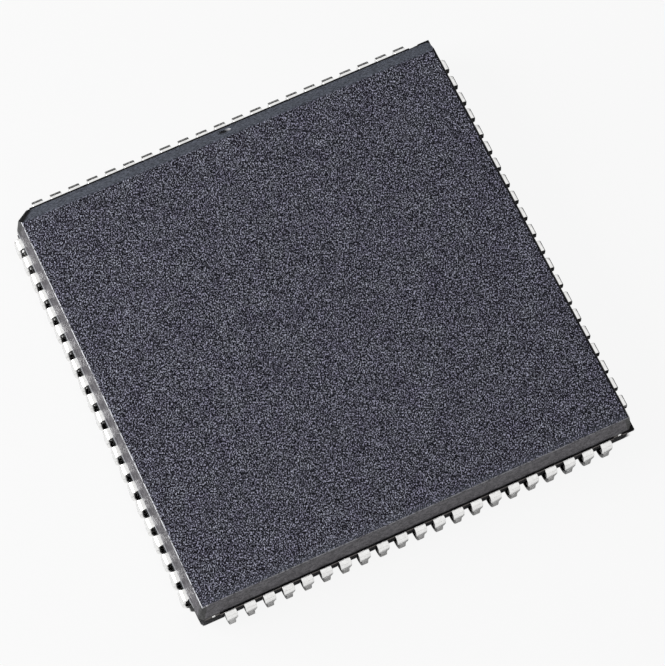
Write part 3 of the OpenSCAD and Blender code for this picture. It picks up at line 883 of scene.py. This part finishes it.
def paper_material(stage):
    """Pale paper that shows as itself to the camera and in reflections, still takes a soft shadow, carries a
    painted shadow under the part, longer behind and right of it as reflections see it, and lets a view from below
    through."""
    material, tree, shader, place = blank_material("studio_paper")
    fibre = mottle(tree, place, 40.0, 0.5, 0.4)
    tone = tinted(tree, fibre, [0.995 * c for c in stage.paper], stage.paper)
    shader.inputs["Roughness"].default_value = 0.9
    shader.inputs["Specular IOR Level"].default_value = 0.0
    ray = node(tree, "ShaderNodeLightPath").outputs
    axes = axes_of(tree, place)
    # Past the ends of the left row, the painted shadow draws back under the body
    row_end, draw_back = 13.1 * MM, 0.3 * MM
    along = figure(tree, "ABSOLUTE", axes["Y"])
    past_row = mapped(tree, along, row_end, row_end + 0.2 * MM, 0.0, -draw_back)
    spot = {"X": figure(tree, "ADD", axes["X"], past_row), "Y": axes["Y"]}
    full_far, end_far = 14.6 * MM, 15.0 * MM
    # Metal sees a clear strip of paper just behind the part, a gap in its painted shadow
    close = product(
        tree, mapped(tree, axes["Y"], 14.7 * MM, 14.95 * MM), mapped(tree, axes["Y"], 17 * MM, 16 * MM))
    clear = figure(tree, "SUBTRACT", 1.0, close)
    behind = mapped(tree, axes["Y"], -14.2 * MM, -13.2 * MM)
    mirror_reach = (0.3 * stage.painted_shadow_reach, stage.painted_shadow_reach)
    lit = 0.0
    # Each painted shadow: who sees it, share of real light kept, left and front limits and their softness in
    # millimetres, reach past the right and back, brightness in front and behind
    for kinds, kept, limits, softness, reach, depths in (
            (["Is Camera Ray"], stage.shadow, (-14.68, -14.29), (0.06, 0.04), (0.0, 0.0), (0.12, 0.12)),
            (["Is Glossy Ray", "Is Transmission Ray"], stage.mirror_shadow, (-14.82, -15.59), (0.1, 0.04),
             mirror_reach, (0.65, 0.04))):
        under = clear if any(reach) else 1.0
        for axis, low, far, soft in zip("XY", limits, reach, softness):
            under = product(
                tree, mapped(tree, spot[axis], (low - soft) * MM, (low + soft) * MM),
                mapped(tree, axes[axis], end_far + far, full_far + 0.5 * far), under)
        bright = figure(tree, "SUBTRACT", 1.0, under)
        shaded = tinted(tree, behind, *[[depth * c for c in stage.paper] for depth in depths])
        for kind in kinds:
            seen = product(tree, ray[kind], 1 - kept, bright)
            lit = figure(tree, "MAXIMUM", seen, lit)
            tone = tinted(tree, product(tree, ray[kind], under), tone, shaded)
    tree.links.new(tone, shader.inputs["Base Color"])
    glow = node(tree, "ShaderNodeEmission", {"Color": (*stage.paper, 1.0), "Strength": 1.0})
    mix = node(tree, "ShaderNodeMixShader", {0: lit, 1: shader.outputs["BSDF"], 2: glow.outputs[0]})
    output = next(n for n in tree.nodes if n.type == "OUTPUT_MATERIAL")
    reverse = node(tree, "ShaderNodeNewGeometry").outputs["Backfacing"]
    below = node(tree, "ShaderNodeBsdfTransparent")
    sheet = node(tree, "ShaderNodeMixShader", {0: reverse, 1: mix.outputs[0], 2: below.outputs[0]})
    tree.links.new(sheet.outputs[0], output.inputs["Surface"])
    return material


class CARRIER_OT_set_stage(bpy.types.Operator):
    """Lay the paper, place the lights and set the camera"""

    bl_idname = "carrier.set_stage"
    bl_label = "Set stage"

    def execute(self, context):
        scene, stage = context.scene, context.scene.carrier_stage
        reach = 3.0
        mesh = bpy.data.meshes.new("paper")
        corners = np.array([[-1, -1, 0], [1, -1, 0], [1, 1, 0], [-1, 1, 0]]) * reach
        corners[:, 2] = -0.02 * MM
        mesh.from_pydata(corners, [], [(0, 1, 2, 3)])
        mesh.materials.append(paper_material(stage))
        paper = bpy.data.objects.new("paper", mesh)
        scene.collection.objects.link(paper)
        softbox("left_softbox", (-0.13, 0.05, 0.09), 0.1, 0.12, stage.left_power)
        softbox("top_softbox", (0.05, -0.1, 0.55), 0.4, 0.4, stage.top_power).visible_glossy = False
        world = bpy.data.worlds.new("studio")
        world.use_nodes = True
        tree = world.node_tree
        tree.nodes.clear()
        ray = node(tree, "ShaderNodeLightPath").outputs
        way = node(tree, "ShaderNodeTexCoord").outputs["Generated"]
        axes = axes_of(tree, way)
        behind = figure(tree, "SUBTRACT", axes["Y"], 0.4)
        wall = figure(tree, "MAXIMUM", behind, 0.0)
        rise = figure(tree, "MULTIPLY_ADD", wall, -1.3, axes["Z"])
        room = mapped(tree, rise, -0.05, 0.12, stage.horizon, 1.0)
        mirrored = node(tree, "ShaderNodeMix", {"Factor": ray["Is Glossy Ray"], 2: stage.sky, 3: room})
        seen = figure(tree, "MAXIMUM", ray["Is Camera Ray"], ray["Is Transmission Ray"])
        strength = node(tree, "ShaderNodeMix", {"Factor": seen, 2: mirrored.outputs[0], 3: 1.0})
        sky = node(tree, "ShaderNodeBackground", {
            "Color": (*stage.paper, 1.0), "Strength": strength.outputs[0]})
        node(tree, "ShaderNodeOutputWorld", {"Surface": sky.outputs[0]})
        scene.world = world
        camera = bpy.data.cameras.new("camera")
        camera.sensor_width, camera.sensor_fit, camera.lens = 36.0, "HORIZONTAL", 176.15
        camera.clip_start, camera.clip_end = 0.01, 20.0
        seat = bpy.data.objects.new("camera", camera)
        right = Vector((0.906258, -0.422725, 0.000550))
        up = Vector((0.394206, 0.845584, 0.359986))
        ahead = Vector((0.152640, 0.326023, -0.932958))
        turn = Matrix((right, up, -ahead)).transposed().to_4x4()
        seat.matrix_world = Matrix.Translation(Vector((-30.511, -67.351, 192.111)) * MM) @ turn
        scene.collection.objects.link(seat)
        scene.camera = seat
        scene.view_settings.view_transform = "Standard"
        return {"FINISHED"}


OPERATORS = (
    CARRIER_OT_mould_body, CARRIER_OT_form_leads, CARRIER_OT_cut_tie_bars, CARRIER_OT_dress_inside,
    CARRIER_OT_set_stage)
GROUPS = {
    "carrier_body": CarrierBody, "carrier_leads": CarrierLeads, "carrier_finish": CarrierFinish,
    "carrier_stage": CarrierStage}


class CARRIER_PT_panel(bpy.types.Panel):
    """Sizes, finishes and steps of the chip carrier"""

    bl_idname = "CARRIER_PT_panel"
    bl_label = "Chip carrier"
    bl_space_type = "VIEW_3D"
    bl_region_type = "UI"
    bl_category = "Carrier"

    def draw(self, context):
        for step in OPERATORS:
            self.layout.operator(step.bl_idname)
        for name, group in GROUPS.items():
            box = self.layout.box()
            box.label(text=group.__doc__)
            for key in group.__annotations__:
                box.prop(getattr(context.scene, name), key)


def register():
    """Register the classes and hang the settings on the scene."""
    for group in (*GROUPS.values(), *OPERATORS, CARRIER_PT_panel):
        bpy.utils.register_class(group)
    for name, group in GROUPS.items():
        setattr(bpy.types.Scene, name, bpy.props.PointerProperty(type=group))


def unregister():
    """Take the settings off the scene and unregister the classes."""
    for name in GROUPS:
        delattr(bpy.types.Scene, name)
    for group in reversed((*GROUPS.values(), *OPERATORS, CARRIER_PT_panel)):
        bpy.utils.unregister_class(group)


def main():
    """Run every step in order."""
    register()
    bpy.ops.carrier.mould_body()
    bpy.ops.carrier.form_leads()
    bpy.ops.carrier.cut_tie_bars()
    bpy.ops.carrier.dress_inside()
    bpy.ops.carrier.set_stage()


if __name__ == "__main__":
    main()
